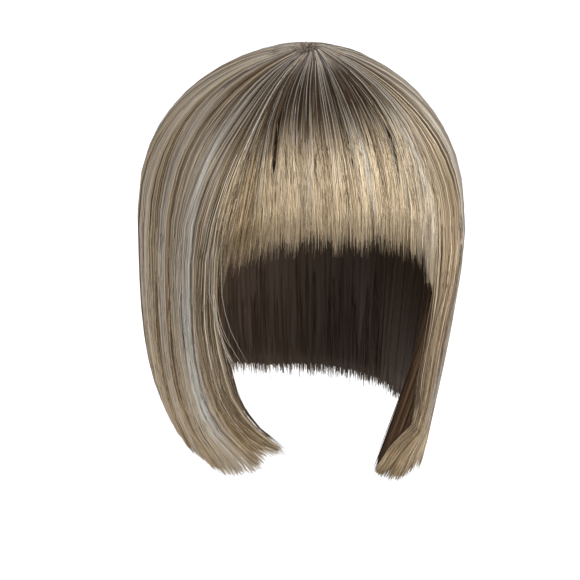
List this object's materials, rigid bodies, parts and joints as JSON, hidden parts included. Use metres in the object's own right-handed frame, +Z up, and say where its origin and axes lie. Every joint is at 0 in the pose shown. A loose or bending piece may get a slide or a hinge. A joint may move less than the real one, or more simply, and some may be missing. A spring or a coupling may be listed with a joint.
{
  "type": "bob wig",
  "caption": "Chin-length straight bob wig with a full fringe, hair walls hung from a thin cap round an open head hollow.",
  "frame": {"origin": "crown seat: the inner top of the cap, where the wig sits on a head", "axes": "+Z up, the face side towards -Y, +X towards the wearer's left"},
  "size_m": [0.2037, 0.2203, 0.2761],
  "materials": {
    "hair": "straight ash-blonde synthetic hair with paler streaks, satin",
    "whorl": "matt grey-brown hair roots at the crown",
    "cap": "matt dark stretch net"
  },
  "bodies": {
    "root": {"wig_cap": "cap", "crown_whorl": "whorl", "fringe": "hair", "side_hair_left": "hair", "back_hair": "hair", "side_hair_right": "hair"}
  },
  "joints": []
}
